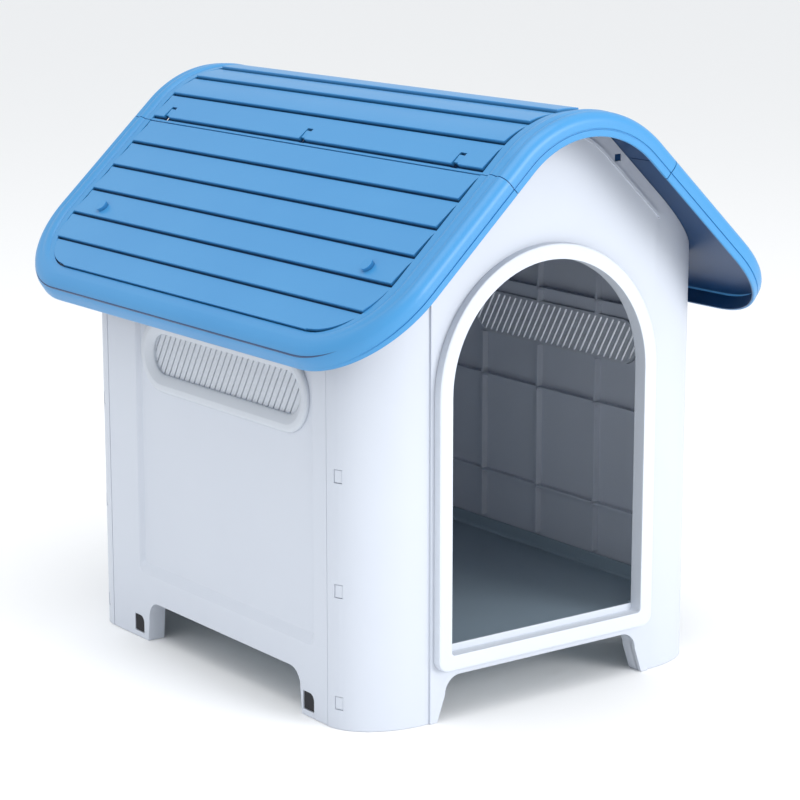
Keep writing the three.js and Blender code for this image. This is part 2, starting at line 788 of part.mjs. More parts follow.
place("front_panel", frontPanel(), panelWhite, 0.45);
place("rear_panel", gablePanel(1), panelWhite, 0.45);
place("door_surround", doorSurround(), panelWhite, 0.45);
placePair("SIDE_side_panel", sidePanel(), panelWhite, 0.45);
placePair("SIDE_vent_grille", ventGrille(), panelWhite, 0.45);
place("floor_tray", floorTray(), floorGrey, 0.6);
place("roof_ridge_cap", ridgeCap(), roofBlue, 0.4);
placePair("SIDE_roof_panel", roofLid(), roofBlue, 0.4);
placePair("roof_lock_peg_front_SIDE", lockPeg(pegPlaces[0]), roofBlue, 0.4);
placePair("roof_lock_peg_rear_SIDE", lockPeg(pegPlaces[1]), roofBlue, 0.4);
placePair("foot_plug_front_SIDE", footPlug(-1), rubberBlack, 0.9);
placePair("foot_plug_rear_SIDE", footPlug(1), rubberBlack, 0.9);

export default kennel;
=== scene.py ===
import math
import bmesh
import bpy
from mathutils import Matrix, Vector


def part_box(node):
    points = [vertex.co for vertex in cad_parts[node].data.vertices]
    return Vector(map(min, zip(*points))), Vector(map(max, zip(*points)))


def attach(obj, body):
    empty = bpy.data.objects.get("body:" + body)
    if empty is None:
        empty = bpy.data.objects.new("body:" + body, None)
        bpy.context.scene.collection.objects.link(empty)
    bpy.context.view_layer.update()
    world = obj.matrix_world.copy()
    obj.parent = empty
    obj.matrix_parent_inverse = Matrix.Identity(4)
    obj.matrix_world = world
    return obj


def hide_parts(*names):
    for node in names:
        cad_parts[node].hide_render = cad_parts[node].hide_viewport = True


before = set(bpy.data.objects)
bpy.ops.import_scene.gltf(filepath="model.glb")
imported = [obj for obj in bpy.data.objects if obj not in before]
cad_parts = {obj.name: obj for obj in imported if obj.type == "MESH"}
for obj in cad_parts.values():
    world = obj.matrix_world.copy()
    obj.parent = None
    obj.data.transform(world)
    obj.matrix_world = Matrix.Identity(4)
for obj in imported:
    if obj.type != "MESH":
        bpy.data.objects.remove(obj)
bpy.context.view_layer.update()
mm = 0.001


# mesh helpers: points are in millimetres until makeObject turns them to metres

def makeObject(name, points, faces):
    mesh = bpy.data.meshes.new(name)
    mesh.from_pydata([(x * mm, y * mm, z * mm) for x, y, z in points], [], faces)
    obj = bpy.data.objects.new(name, mesh)
    bpy.context.collection.objects.link(obj)
    return cleaned(obj)


def cleaned(obj):
    work = bmesh.new()
    work.from_mesh(obj.data)
    bmesh.ops.remove_doubles(work, verts=work.verts, dist=0.01 * mm)
    bmesh.ops.recalc_face_normals(work, faces=work.faces)
    if work.calc_volume(signed=True) < 0:
        bmesh.ops.reverse_faces(work, faces=work.faces)
    work.to_mesh(obj.data)
    work.free()
    return obj


def baked(obj):
    graph = bpy.context.evaluated_depsgraph_get()
    mesh = bpy.data.meshes.new_from_object(obj.evaluated_get(graph))
    obj.modifiers.clear()
    obj.data = mesh
    return obj


def combine(target, tool, operation="DIFFERENCE"):
    step = target.modifiers.new("combine", "BOOLEAN")
    step.object = tool
    step.operation = operation
    step.solver = "EXACT"
    baked(target)
    bpy.data.objects.remove(tool)
    return target


def softened(obj, width, segments=2, angle=35):
    step = obj.modifiers.new("soften", "BEVEL")
    step.width = width * mm
    step.segments = segments
    step.limit_method = "ANGLE"
    step.angle_limit = math.radians(angle)
    step.use_clamp_overlap = True
    step.miter_outer = "MITER_ARC"
    return baked(obj)


def smoothed(obj, angle=32):
    obj.data.shade_smooth()
    obj.data.set_sharp_from_angle(angle=math.radians(angle))
    step = obj.modifiers.new("flat faces", "WEIGHTED_NORMAL")  # keeps large faces flat beside rounded edges
    step.keep_sharp = True
    return baked(obj)


def joinedTo(target, others):
    with bpy.context.temp_override(active_object=target, object=target,
                                   selected_editable_objects=[target] + others,
                                   selected_objects=[target] + others):
        bpy.ops.object.join()
    return target


def mirrored(obj, name, angle=32):
    other = obj.copy()
    other.data = obj.data.copy()
    other.name = name
    bpy.context.collection.objects.link(other)
    if "custom_normal" in other.data.attributes:
        other.data.attributes.remove(other.data.attributes["custom_normal"])
    other.data.transform(Matrix.Scale(-1, 4, Vector((1, 0, 0))))
    other.data.flip_normals()
    return smoothed(other, angle)


# rings of equally many points, joined in order
def loft(name, rings, ringClosed=True, loopClosed=False, capped=True):
    count = len(rings[0])
    points = [p for ring in rings for p in ring]
    faces = []
    steps = len(rings) if loopClosed else len(rings) - 1
    across = count if ringClosed else count - 1
    for i in range(steps):
        for j in range(across):
            a = i * count + j
            b = i * count + (j + 1) % count
            c = ((i + 1) % len(rings)) * count + (j + 1) % count
            d = ((i + 1) % len(rings)) * count + j
            faces.append((a, b, c, d))
    if capped and not loopClosed:
        faces.append(tuple(range(count)))
        faces.append(tuple((len(rings) - 1) * count + j for j in range(count)))
    return makeObject(name, points, faces)


def place(axis, u, v, w):
    return {"x": (w, u, v), "y": (u, w, v), "z": (u, v, w)}[axis]


def prism(outline, axis, start, end, name="tool"):
    return loft(name, [[place(axis, u, v, w) for u, v in outline] for w in (start, end)])


def block(x0, x1, y0, y1, z0, z1, name="block"):
    return prism([(x0, y0), (x1, y0), (x1, y1), (x0, y1)], "z", z0, z1, name)


def arc(cu, cv, ru, rv, start, end, steps):
    turns = [math.radians(start + (end - start) * i / steps) for i in range(steps + 1)]
    return [(cu + ru * math.cos(t), cv + rv * math.sin(t)) for t in turns]


# the roof's section

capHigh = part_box("roof_ridge_cap")[1]
roof = dict(half=capHigh[1] / mm, top=capHigh[2] / mm, pitch=math.radians(43), arch=145,
            slope=293, seam=30, seamGap=1, thick=7.5, corner=118, archSteps=44)
roof["tangent"] = roof["arch"] * roof["pitch"]
roof["centre"] = roof["top"] - roof["arch"]
roof["seamAt"] = roof["tangent"] + roof["seam"]
roof["lid"] = roof["slope"] - roof["seam"]


def roofPoint(over, y, sink):
    side = 1 if over >= 0 else -1
    turn = min(abs(over) / roof["arch"], roof["pitch"])
    down = max(abs(over) - roof["tangent"], 0)
    radius = roof["arch"] - sink
    x = radius * math.sin(turn) + down * math.cos(roof["pitch"])
    z = roof["centre"] + radius * math.cos(turn) - down * math.sin(roof["pitch"])
    return side * x, y, z


rim = dict(border=42, eaveBorder=33, round=11, roundTop=0.8, roundDeep=12,
           eaveRound=18.2, eaveDeep=19, eaveTop=1.5, strip=3.0, floor=7.0)


# (inset from the edge, sink below the crest), from the inside of the skirt over the edge to the field
def gableRim():
    points = [(4, roof["thick"]), (4, 26), (3.4, 27), (1.0, 27), (0.2, 26.4), (0, 25.4), (0, 20.0),
              (1.3, 19.6), (1.3, 18.4), (0, 18.0), (0, rim["roundDeep"])]
    for i in range(1, 7):
        t = math.radians(15 * i)
        points.append((rim["round"] * (1 - math.cos(t)),
                       rim["roundDeep"] - (rim["roundDeep"] - rim["roundTop"]) * math.sin(t)))
    points += [(15, 1.9), (18, 1.0), (21, 0.1), (24, 0.2), (27.5, 1.3), (29.5, 2.7), (30.2, 3.6),
               (31.2, rim["strip"]), (41.2, rim["strip"]), (rim["border"], 3.4),
               (rim["border"], rim["floor"])]
    return points


def eaveRim():
    points = [(4, roof["thick"]), (4, 26), (3.4, 27), (1.4, 27), (0.6, 26.5), (0.2, 25.4),
              (0, 23.5), (0.1, 22.5), (0.3, 21.5), (0.5, 20.5), (0.8, rim["eaveDeep"])]
    for i in range(1, 7):
        t = math.radians(15 * i)
        points.append((0.8 + rim["eaveRound"] * (1 - math.cos(t)),
                       rim["eaveDeep"] - (rim["eaveDeep"] - rim["eaveTop"]) * math.sin(t)))
    points += [(21, 1.3), (22.5, 1.4), (24, 1.5), (26, 1.7), (27.5, 2.0), (28.8, 2.3), (29.8, 2.5),
               (30.5, 2.7), (32.2, 3.0), (rim["eaveBorder"], 3.4), (rim["eaveBorder"], rim["floor"])]
    return points


planks = dict(pitch=39, board=33, first=37, low=4.0, high=0.4, groove=2.6, under=7.25,
              fade=28, fieldCorner=75, edge=0.9)


# a row is (over, half length, sink): the plank's top, with its underside sunk in the field
def plank(rows, name):
    rings = []
    for over, half, sink in rows:
        rings.append([roofPoint(over, -half, planks["under"]), roofPoint(over, -half, sink),
                      roofPoint(over, half, sink), roofPoint(over, half, planks["under"])])
    return softened(loft(name, rings), planks["edge"], 3, 40)


def fieldHalf(down, inset):
    radius = planks["fieldCorner"] - inset
    centre = roof["lid"] - rim["eaveBorder"] - planks["fieldCorner"]
    half = roof["half"] - rim["border"] - planks["fieldCorner"]
    past = max(down - centre, 0)
    return half + math.sqrt(max(radius * radius - past * past, 0))


def lidPlanks():
    made = []
    end = roof["lid"] - rim["eaveBorder"]
    edges = [planks["first"] + planks["pitch"] * k for k in range(5)] + [end]
    starts = [planks["first"] - planks["pitch"]] + edges[:-1]
    for k, (start, edge) in enumerate(zip(starts, edges)):
        low = start + planks["groove"] / 2 if k else roof["seamGap"] / 2
        high = edge - planks["groove"] / 2
        fade = edge - planks["fade"]
        marks = [low, max(fade, low + 1)]
        centre = end - planks["fieldCorner"]
        steps = 14 if high > centre else 2
        for i in range(1, steps + 1):
            t = math.sin(math.pi / 2 * i / steps) if k == len(edges) - 1 else i / steps
            marks.append(marks[1] + (high - marks[1]) * t)
        rows = []
        for i, down in enumerate(marks):
            share = (down - start) / (edge - start)
            sink = planks["low"] + share * (planks["high"] - planks["low"])
            inset = -0.4 if i == 0 else planks["groove"]
            rows.append((roof["seamAt"] + down, fieldHalf(down, inset), sink))
        made.append(plank(rows, "plank"))
    return made


def capPlanks():
    made = []
    half = roof["half"] - rim["border"]
    reach = roof["seamAt"] - roof["seamGap"] / 2
    gap = planks["groove"] / 2
    board = planks["board"] / 2
    rows = [(over, half - planks["groove"], planks["high"]) for over in
            [-board + gap + (2 * board - 2 * gap) * i / 6 for i in range(7)]]
    made.append(plank(rows, "plank"))
    for side in (-1, 1):
        start = board
        while start < reach:
            edge = start + planks["pitch"]
            last = min(edge - gap, reach)
            fade = edge - planks["fade"]
            marks = [start + gap, min(max(fade, start + gap + 1), last)]
            if last > marks[1] + 1:
                marks += [marks[1] + (last - marks[1]) * i / 6 for i in range(1, 7)]
            rows = []
            for i, over in enumerate(marks):
                share = (over - start) / planks["pitch"]
                sink = planks["low"] + share * (planks["high"] - planks["low"])
                ends = 0.4 if i == 0 or over < fade - 0.5 else -planks["groove"]
                rows.append((side * over, half + ends, sink))
            made.append(plank(rows, "plank"))
            start = edge
    return made


# hinge tongues, their slots and the lock pegs follow the CAD

tongues = dict(places=(-279, 4, 296), width=9, reach=20, root=12, thick=4.5, below=1, nub=10.5,
               nubTop=2, spread=2, slotPlay=1, slotEnd=3.5, slotStart=3)
pegs = dict(places=(-271.5, 271.5), down=138.5, head=7, headTop=4.5, headTall=1, shank=4,
            reach=20, fit=0.4)


# a block in the lid's own frame: down the slope, along the roof, and sunk below the crest
def slopeBlock(down0, down1, y0, y1, sink0, sink1, name="tool"):
    at = roof["seamAt"]
    rings = [[roofPoint(at + down, y, sink) for y, sink in
              ((y0, sink0), (y1, sink0), (y1, sink1), (y0, sink1))] for down in (down0, down1)]
    return loft(name, rings)


def slopeRound(y, profile, name="tool", steps=40):
    at = roof["seamAt"] + pegs["down"]
    rings = []
    for radius, sink in profile:
        rings.append([roofPoint(at + radius * math.cos(t), y + radius * math.sin(t), sink)
                      for t in [2 * math.pi * i / steps for i in range(steps)]])
    return loft(name, rings)


# how far a point lies inside the roof's outline, and how deep below its crest
def depthAt(x, y, z):
    up = z - roof["centre"]
    if math.atan2(abs(x), up) < roof["pitch"]:
        over, sink = 0, roof["arch"] - math.hypot(x, up)
    else:
        over = roof["tangent"] + abs(x) * math.cos(roof["pitch"]) - up * math.sin(roof["pitch"])
        sink = roof["arch"] - abs(x) * math.sin(roof["pitch"]) - up * math.cos(roof["pitch"])
    fromEave = roof["seamAt"] + roof["lid"] - over
    fromEnd = roof["half"] - abs(y)
    corner = roof["corner"]
    if fromEave < corner and fromEnd < corner:
        return corner - math.hypot(corner - fromEave, corner - fromEnd), sink
    return min(fromEave, fromEnd), sink


# painted shade: the floor of each groove and the underside keep less light than the faces around them, so
# they are marked to take a darker painted colour
def markPaintedShade(obj):
    marks = obj.data.attributes.new("painted_shade", "FLOAT", "POINT")
    for vertex, mark in zip(obj.data.vertices, marks.data):
        inset, sink = depthAt(*(c / mm for c in vertex.co))
        groove = min(max((sink - 4.4) / 1.8, 0), 1) if inset > 9 else 0
        under = 1 if inset > 3.3 and sink > 7.3 else 0
        mark.value = max(groove, under)
    return obj


def lidShell():
    gable, eave = gableRim(), eaveRim()
    corner = roof["corner"]
    centre = roof["lid"] - corner
    side = roof["half"] - corner
    turns = 22
    stations = [(roof["seamGap"] / 2, 0)] + [(None, 90 * i / turns) for i in range(turns + 1)]
    rings = []
    for end in (-1, 1):
        half = []
        for start, turn in stations:
            t = math.radians(turn)
            share = math.sin(t) ** 2
            ring = []
            for (insetY, sinkY), (insetD, sinkD) in zip(gable, eave):
                down = start if start is not None else centre + (corner - insetD) * math.sin(t)
                y = end * (side + (corner - insetY) * math.cos(t))
                ring.append(roofPoint(roof["seamAt"] + down, y, sinkY + (sinkD - sinkY) * share))
            half.append(ring)
        rings += half if end < 0 else half[::-1]
    count = len(gable)
    points = [p for ring in rings for p in ring]
    faces = []
    for i in range(len(rings) - 1):
        for j in range(count - 1):
            a = i * count + j
            faces.append((a, a + 1, a + count + 1, a + count))
    last = (len(rings) - 1) * count
    faces.append(tuple(i * count for i in range(len(rings))))
    faces.append(tuple(i * count + count - 1 for i in range(len(rings))))
    faces.append(tuple(range(count)) + tuple(last + j for j in range(count - 1, -1, -1)))
    return makeObject("right_lid", points, faces)


def buildLid():
    lid = lidShell()
    pieces = lidPlanks()
    for y in pegs["places"]:
        for shape in [lid, pieces[3]]:
            wide = pegs["head"] + pegs["fit"]
            combine(shape, slopeRound(y, [(wide, -3), (wide, pegs["headTop"] + pegs["headTall"] + 0.3)]))
        hole = pegs["shank"] + pegs["fit"]
        for shape in [lid, pieces[3]]:
            combine(shape, slopeRound(y, [(hole, -3), (hole, 12)]))
    softened(lid, 0.5, 2, 50)
    top = roof["thick"] + tongues["below"]
    for y in tongues["places"]:
        y0, y1 = y - tongues["width"] / 2, y + tongues["width"] / 2
        wider = tongues["spread"]
        strip = slopeBlock(-tongues["reach"] - wider, tongues["root"], y0 - wider, y1 + wider,
                           top, top + tongues["thick"], "tongue")
        nub = slopeBlock(-tongues["reach"], tongues["nub"] - tongues["reach"], y0, y1,
                         tongues["nubTop"], top + 1, "nub")
        root = slopeBlock(2, tongues["root"], y0, y1, roof["thick"] - 0.5, top + 1, "root")
        combine(strip, nub, "UNION")
        combine(strip, root, "UNION")
        pieces.append(softened(strip, 0.7, 2, 40))
    return markPaintedShade(smoothed(joinedTo(lid, pieces)))


def buildCap():
    reach = roof["seamAt"] - roof["seamGap"] / 2
    marks = [-reach] + [-roof["tangent"] + 2 * roof["tangent"] * i / roof["archSteps"]
                        for i in range(roof["archSteps"] + 1)] + [reach]
    section = [(-roof["half"] + inset, sink) for inset, sink in gableRim()]
    section += [(-y, sink) for y, sink in reversed(section)]
    cap = loft("roof_ridge_cap.shell", [[roofPoint(over, y, sink) for y, sink in section] for over in marks])
    pieces = capPlanks()
    for y in tongues["places"]:
        half = tongues["width"] / 2 + tongues["slotPlay"]
        for side in (1, -1):
            for shape in [cap] + pieces:
                slot = slopeBlock(-tongues["reach"] - tongues["slotEnd"], -tongues["slotStart"],
                                  y - half, y + half, -4, roof["thick"] + 2)
                if side < 0:
                    slot.data.transform(Matrix.Scale(-1, 4, Vector((1, 0, 0))))
                    slot.data.flip_normals()
                onSide = (sum(v.co.x for v in shape.data.vertices) / len(shape.data.vertices)) * side
                if shape is cap or onSide > 0.07:
                    combine(shape, slot)
                else:
                    bpy.data.objects.remove(slot)
    softened(cap, 0.5, 2, 50)
    clips = []
    for end, inner in ((-1, walls["front"] + walls["thick"]), (1, walls["rear"] - walls["thick"])):
        for side in (-1, 1):
            clips += capClip(side, end, inner)
    return markPaintedShade(smoothed(joinedTo(cap, pieces + clips)))


clip = dict(x=100, height=596.5, windowWide=9, windowTall=8, wide=14, thick=2.7, play=0.4)


def capClip(side, end, inner):
    face = inner - end * 0.3
    x = side * clip["x"]
    strip = block(x - clip["wide"] / 2, x + clip["wide"] / 2, *sorted((face, face - end * clip["thick"])),
                  clip["height"] - clip["windowTall"], roof["top"], "clip")
    combine(strip, underRoof(roof["thick"] - 1, -400, 400), "INTERSECT")
    wide, tall = clip["windowWide"] / 2 - clip["play"], clip["windowTall"] / 2 - clip["play"]
    nub = block(x - wide, x + wide, *sorted((face - end, inner + end * 4)),
                clip["height"] - tall, clip["height"] + tall, "clip_nub")
    return [strip, softened(nub, 0.5, 2, 40)]


# walls

walls = dict(half=248, front=-292.5, rear=282.5, cornerX=85, cornerY=60.5, thick=4.5,
             faceRise=2.5, faceHalf=157, faceBelow=25, bead=3.2, beadRise=1.1, foot=50, footRound=20,
             gapHalf=137, flare=11, ledgeTop=63.5, ledgeThick=7.5, ledgeWide=20, edge=0.8, returnDeep=19)
walls["seamFront"] = walls["front"] + walls["cornerY"]
walls["seamRear"] = walls["rear"] - walls["cornerY"]
snaps = dict(levels=(29, 154, 280), tall=15, long=10, fromSeam=11, play=0.6)


def bodyPlan(insetX, insetY, steps=20):
    x, front, rear = walls["half"] - insetX, walls["front"] + insetY, walls["rear"] - insetY
    rx, ry = walls["cornerX"] - insetX, walls["cornerY"] - insetY
    return (arc(x - rx, front + ry, rx, ry, -90, 0, steps) + arc(x - rx, rear - ry, rx, ry, 0, 90, steps)
            + arc(-x + rx, rear - ry, rx, ry, 90, 180, steps)
            + arc(-x + rx, front + ry, rx, ry, 180, 270, steps))


def underRoof(sink, start, end, reach=None, low=-10):
    reach = reach or roof["seamAt"] + roof["lid"]
    steps = roof["archSteps"]
    bend = [-roof["tangent"] + 2 * roof["tangent"] * i / steps for i in range(steps + 1)]
    marks = [-reach] + bend + [reach]
    top = [roofPoint(over, 0, sink) for over in marks]
    outline = [(x, z) for x, _, z in top]
    outline += [(outline[-1][0], low), (outline[0][0], low)]
    return prism(outline, "y", start, end)


# the gap between two feet; grown by a wall's thickness it gives the flange turned in round it
def footGap(start, end, flare, grow=0, low=-1, steps=8):
    turn, r = walls["foot"] - walls["footRound"], walls["footRound"] + grow
    start, end = start - grow, end + grow
    return ([(start - flare, low), (end + flare, low)]
            + arc(end - r, turn, r, r, 0, 90, steps) + arc(start + r, turn, r, r, 90, 180, steps))


def footFlange(axis, start, end, flare, near, far):
    flange = prism(footGap(start, end, flare, side["returnThick"], 0), axis, *sorted((near, far)), "flange")
    combine(flange, prism(footGap(start, end, flare), axis, -900, 900))
    low, high = start + walls["footRound"], end - walls["footRound"]
    middle = (low, high, -900, 900) if axis == "y" else (-900, 900, low, high)
    return softened(combine(flange, block(*middle, -9, 90)), 0.6, 2, 40)


door = dict(half=135, sill=76, spring=360, corner=4, band=17.5, proud=10.2, sleeve=3, fit=0.5,
            lipTall=7.5, lipThick=2, gap=0.3)


def doorOutline(grow, steps=48):
    half, sill = door["half"] + grow, door["sill"] - grow
    r = door["corner"] + max(grow, 0) / 2
    return (arc(half - r, sill + r, r, r, -90, 0, 6) + arc(0, door["spring"], half, half, 0, 180, steps)
            + arc(-half + r, sill + r, r, r, 180, 270, 6))


def gablePanel(end):
    outer = walls["front"] if end < 0 else walls["rear"]
    seam = (walls["seamFront"] if end < 0 else walls["seamRear"]) + end * 0.15
    name = "front_panel.shell" if end < 0 else "rear_panel.shell"
    panel = prism(bodyPlan(0, 0), "z", 0, roof["top"], name)
    combine(panel, prism(bodyPlan(walls["thick"], walls["thick"]), "z", -5, roof["top"] + 5))
    span = sorted((seam, outer + end * 10))
    combine(panel, underRoof(roof["thick"] + 0.5, *span), "INTERSECT")
    raised = underRoof(walls["faceBelow"], *sorted((outer - end, outer + end * walls["faceRise"])), low=0)
    combine(raised, block(-walls["faceHalf"], walls["faceHalf"], -400, 400, 0, 700), "INTERSECT")
    combine(panel, raised, "UNION")
    beadEnd = outer + end * (walls["faceRise"] + walls["beadRise"])
    bead = underRoof(walls["faceBelow"], *sorted((outer, beadEnd)), low=300)
    combine(bead, underRoof(walls["faceBelow"] + walls["bead"], -400, 400, low=200))
    combine(bead, block(-walls["faceHalf"] - 4, walls["faceHalf"] + 4, -400, 400, 0, 700), "INTERSECT")
    combine(panel, bead, "UNION")
    ledge = prism(bodyPlan(walls["thick"] - 1, walls["thick"] - 1), "z",
                  walls["ledgeTop"] - walls["ledgeThick"], walls["ledgeTop"])
    combine(ledge, prism(bodyPlan(walls["ledgeWide"], walls["ledgeWide"]), "z", 0, 100))
    combine(ledge, block(-400, 400, *span, 0, 100), "INTERSECT")
    combine(panel, ledge, "UNION")
    combine(panel, prism(footGap(-walls["gapHalf"], walls["gapHalf"], walls["flare"]), "y", -400, 400))
    if end < 0:
        combine(panel, prism(doorOutline(door["sleeve"] + door["fit"]), "y", -400, 0))
    near = seam + end * (snaps["fromSeam"] - 0.15)
    rows = sorted((near, near + end * snaps["long"]))
    for side in (-1, 1):
        across = sorted((side * 160, side * 400))
        for z in snaps["levels"]:
            combine(panel, block(*across, *rows, z - snaps["tall"] / 2, z + snaps["tall"] / 2))
        x = side * clip["x"]
        combine(panel, block(x - clip["windowWide"] / 2, x + clip["windowWide"] / 2,
                             *sorted((outer + end, outer - end * 6)),
                             clip["height"] - clip["windowTall"] / 2,
                             clip["height"] + clip["windowTall"] / 2))
    socket = []
    y = pegs["places"][0 if end < 0 else 1]
    for side in (-1, 1):
        boss = slopeRound(y, [(9, 22), (9, roof["thick"] + 1)], "socket")
        combine(boss, prism(bodyPlan(2, 2), "z", 0, roof["top"]), "INTERSECT")
        combine(boss, slopeRound(y, [(6, 30), (6, 0)]))
        if side < 0:
            boss.data.transform(Matrix.Scale(-1, 4, Vector((1, 0, 0))))
            boss.data.flip_normals()
        socket.append(boss)
    softened(panel, walls["edge"], 2, 38)
    socket.append(footFlange("y", -walls["gapHalf"], walls["gapHalf"], walls["flare"],
                             outer - end * 2, outer - end * walls["returnDeep"]))
    return smoothed(joinedTo(panel, socket), 28)


def buildSurround():
    back = walls["front"] - walls["faceRise"] - door["gap"]
    front = back - door["proud"]
    inner = walls["front"] + walls["thick"] - door["gap"]
    band = door["band"]
    section = [(band, back), (band, front + 2.2), (band - 0.5, front + 0.9), (band - 1.6, front + 0.2),
               (band - 3, front), (1.6, front), (0.5, front + 0.4), (0, front + 1.5), (0, inner - 0.4),
               (0.4, inner), (door["sleeve"], inner), (door["sleeve"], back)]
    rings = [[(u, y, v) for u, v in doorOutline(grow)] for grow, y in section]
    surround = loft("door_surround.band", rings, True, True)
    lip = block(-door["half"] - 1, door["half"] + 1, inner - door["lipThick"], inner,
                door["sill"] - 1, door["sill"] + door["lipTall"], "lip")
    return smoothed(joinedTo(surround, [softened(lip, 0.5, 2)]), 28)


side = dict(joint=0.6, thick=9, footFront=52, footRear=82.5, flare=3, recess=5, slope=5, bottomSlope=11.5,
            fromFront=26, fromRear=64, bottom=83, top=442, returnDeep=22, returnThick=3,
            window=21, windowHeight=17, windowFront=37, windowRear=60)
side["y0"] = walls["seamFront"] + side["joint"]
side["y1"] = walls["seamRear"] - side["joint"]
side["inner"] = walls["half"] - side["thick"]
ribs = dict(tall=8, wide=3, spacing=108.5, low=148, step=125)
vent = dict(height=354, length=171, tall=44, rim=20, flat=10, inside=3.5, neck=3, fit=0.4,
            count=32, pitch=10.8, slatWide=7, slatThick=2.6, lean=30)
vent["middle"] = (walls["seamFront"] + side["fromFront"] + walls["seamRear"] - side["fromRear"]) / 2


def roundRect(u0, u1, v0, v1, r, steps=5):
    return (arc(u1 - r, v0 + r, r, r, -90, 0, steps) + arc(u1 - r, v1 - r, r, r, 0, 90, steps)
            + arc(u0 + r, v1 - r, r, r, 90, 180, steps) + arc(u0 + r, v0 + r, r, r, 180, 270, steps))


def stadium(grow, steps=20):
    length, tall = vent["length"] + grow, vent["tall"] + grow
    y, z, run = vent["middle"], vent["height"], length - tall
    return (arc(y + run, z, tall, tall, -90, 90, steps) + arc(y - run, z, tall, tall, 90, 270, steps))


def sidePanel():
    y0, y1 = side["y0"], side["y1"]
    panel = block(side["inner"], walls["half"], y0, y1, 0, 520, "right_side_panel.shell")
    y = (walls["seamFront"] + side["fromFront"], walls["seamRear"] - side["fromRear"])
    z = (side["bottom"], side["top"])
    mouth = roundRect(*y, *z, 9)
    floor = roundRect(y[0] + side["slope"], y[1] - side["slope"],
                      z[0] + side["bottomSlope"], z[1] - side["slope"], 6)
    outside = walls["half"] + 0.01
    combine(panel, loft("tool", [[(outside - side["recess"], u, v) for u, v in floor],
                                 [(outside, u, v) for u, v in mouth],
                                 [(outside + 5, u, v) for u, v in mouth]]))
    combine(panel, prism(stadium(vent["neck"] + vent["fit"] - vent["rim"]), "x", 200, 300))
    gap = footGap(y0 + side["footFront"], y1 - side["footRear"], side["flare"])
    combine(panel, prism(gap, "x", 200, 300))
    half, h = side["window"] / 2, side["windowHeight"]
    for y in (walls["seamFront"] + side["windowFront"], walls["seamRear"] - side["windowRear"]):
        shape = ([(y - half, h - half), (y + half, h - half), (y + half, h + half)]
                 + arc(y - half + 8, h + half - 8, 8, 8, 90, 180, 6))
        combine(panel, prism(shape, "x", 200, 300))
    combine(panel, underRoof(roof["thick"] + 0.5, -400, 400), "INTERSECT")
    ledge = block(walls["half"] - walls["ledgeWide"], side["inner"] + 1, y0, y1,
                  walls["ledgeTop"] - walls["ledgeThick"], walls["ledgeTop"], "ledge")
    softened(panel, 0.9, 4, 30)
    extra = [softened(ledge, 0.6, 2)]
    extra.append(footFlange("x", y0 + side["footFront"], y1 - side["footRear"], side["flare"],
                            walls["half"] - side["returnDeep"], side["inner"] + 1))
    for seam, end in ((walls["seamFront"], -1), (walls["seamRear"], 1)):
        for z in snaps["levels"]:
            extra += snapTab(seam, end, z)
    return smoothed(joinedTo(panel, extra), 20)


def snapTab(seam, end, z):
    play, tall = snaps["play"], snaps["tall"] / 2
    layer = prism(bodyPlan(walls["thick"] + 0.3, walls["thick"] + 0.3), "z",
                  z - tall - 3, z + tall + 3, "tab")
    combine(layer, prism(bodyPlan(walls["thick"] + 3.8, walls["thick"] + 3.8), "z", 0, 400))
    root, near = seam - end * snaps["fromSeam"], seam + end * (snaps["fromSeam"] + play)
    tip = seam + end * (snaps["fromSeam"] + snaps["long"] - play)
    combine(layer, block(160, 400, *sorted((root, tip + end * 3)), 0, 400), "INTERSECT")
    nub = prism(bodyPlan(0.5, 0.5), "z", z - tall + play, z + tall - play, "nub")
    combine(nub, prism(bodyPlan(walls["thick"] + 1, walls["thick"] + 1), "z", 0, 400))
    combine(nub, block(160, 400, *sorted((near, tip)), 0, 400), "INTERSECT")
    return [layer, softened(nub, 0.5, 2)]


def buildTray():
    insetX, insetY, wall = 11, 6, 3
    section = [(0, 64), (0, 83), (0.6, 84), (wall - 0.6, 84), (wall, 83), (wall + 1, 71), (wall + 3.5, 68)]
    rings = [[(x, y, z) for x, y in bodyPlan(insetX + inset, insetY + inset)] for inset, z in section]
    tray = loft("floor_tray.pan", rings)
    combine(tray, block(-door["half"], door["half"], -400, -240, 74, 100))
    return smoothed(tray, 28)


# geometry nodes: a value wrapped so that sums are written as sums

class Sum:
    def __init__(self, tree, socket):
        self.tree, self.socket = tree, socket

    def maths(self, operation, *values):
        node = self.tree.nodes.new("ShaderNodeMath")
        node.operation = operation
        for slot, value in zip(node.inputs, values):
            if isinstance(value, Sum):
                self.tree.links.new(value.socket, slot)
            else:
                slot.default_value = value
        return Sum(self.tree, node.outputs[0])

    def __add__(self, other): return self.maths("ADD", self, other)
    def __radd__(self, other): return self.maths("ADD", other, self)
    def __sub__(self, other): return self.maths("SUBTRACT", self, other)
    def __rsub__(self, other): return self.maths("SUBTRACT", other, self)
    def __mul__(self, other): return self.maths("MULTIPLY", self, other)
    def __rmul__(self, other): return self.maths("MULTIPLY", other, self)
    def __truediv__(self, other): return self.maths("DIVIDE", self, other)


def addNode(tree, kind, settings=None, values=None):
    node = tree.nodes.new(kind)
    for key, value in (settings or {}).items():
        setattr(node, key, value)
    for key, value in (values or {}).items():
        slot = node.inputs[key]
        if isinstance(value, Sum):
            tree.links.new(value.socket, slot)
        elif isinstance(value, bpy.types.NodeSocket):
            tree.links.new(value, slot)
        else:
            slot.default_value = value
    return node


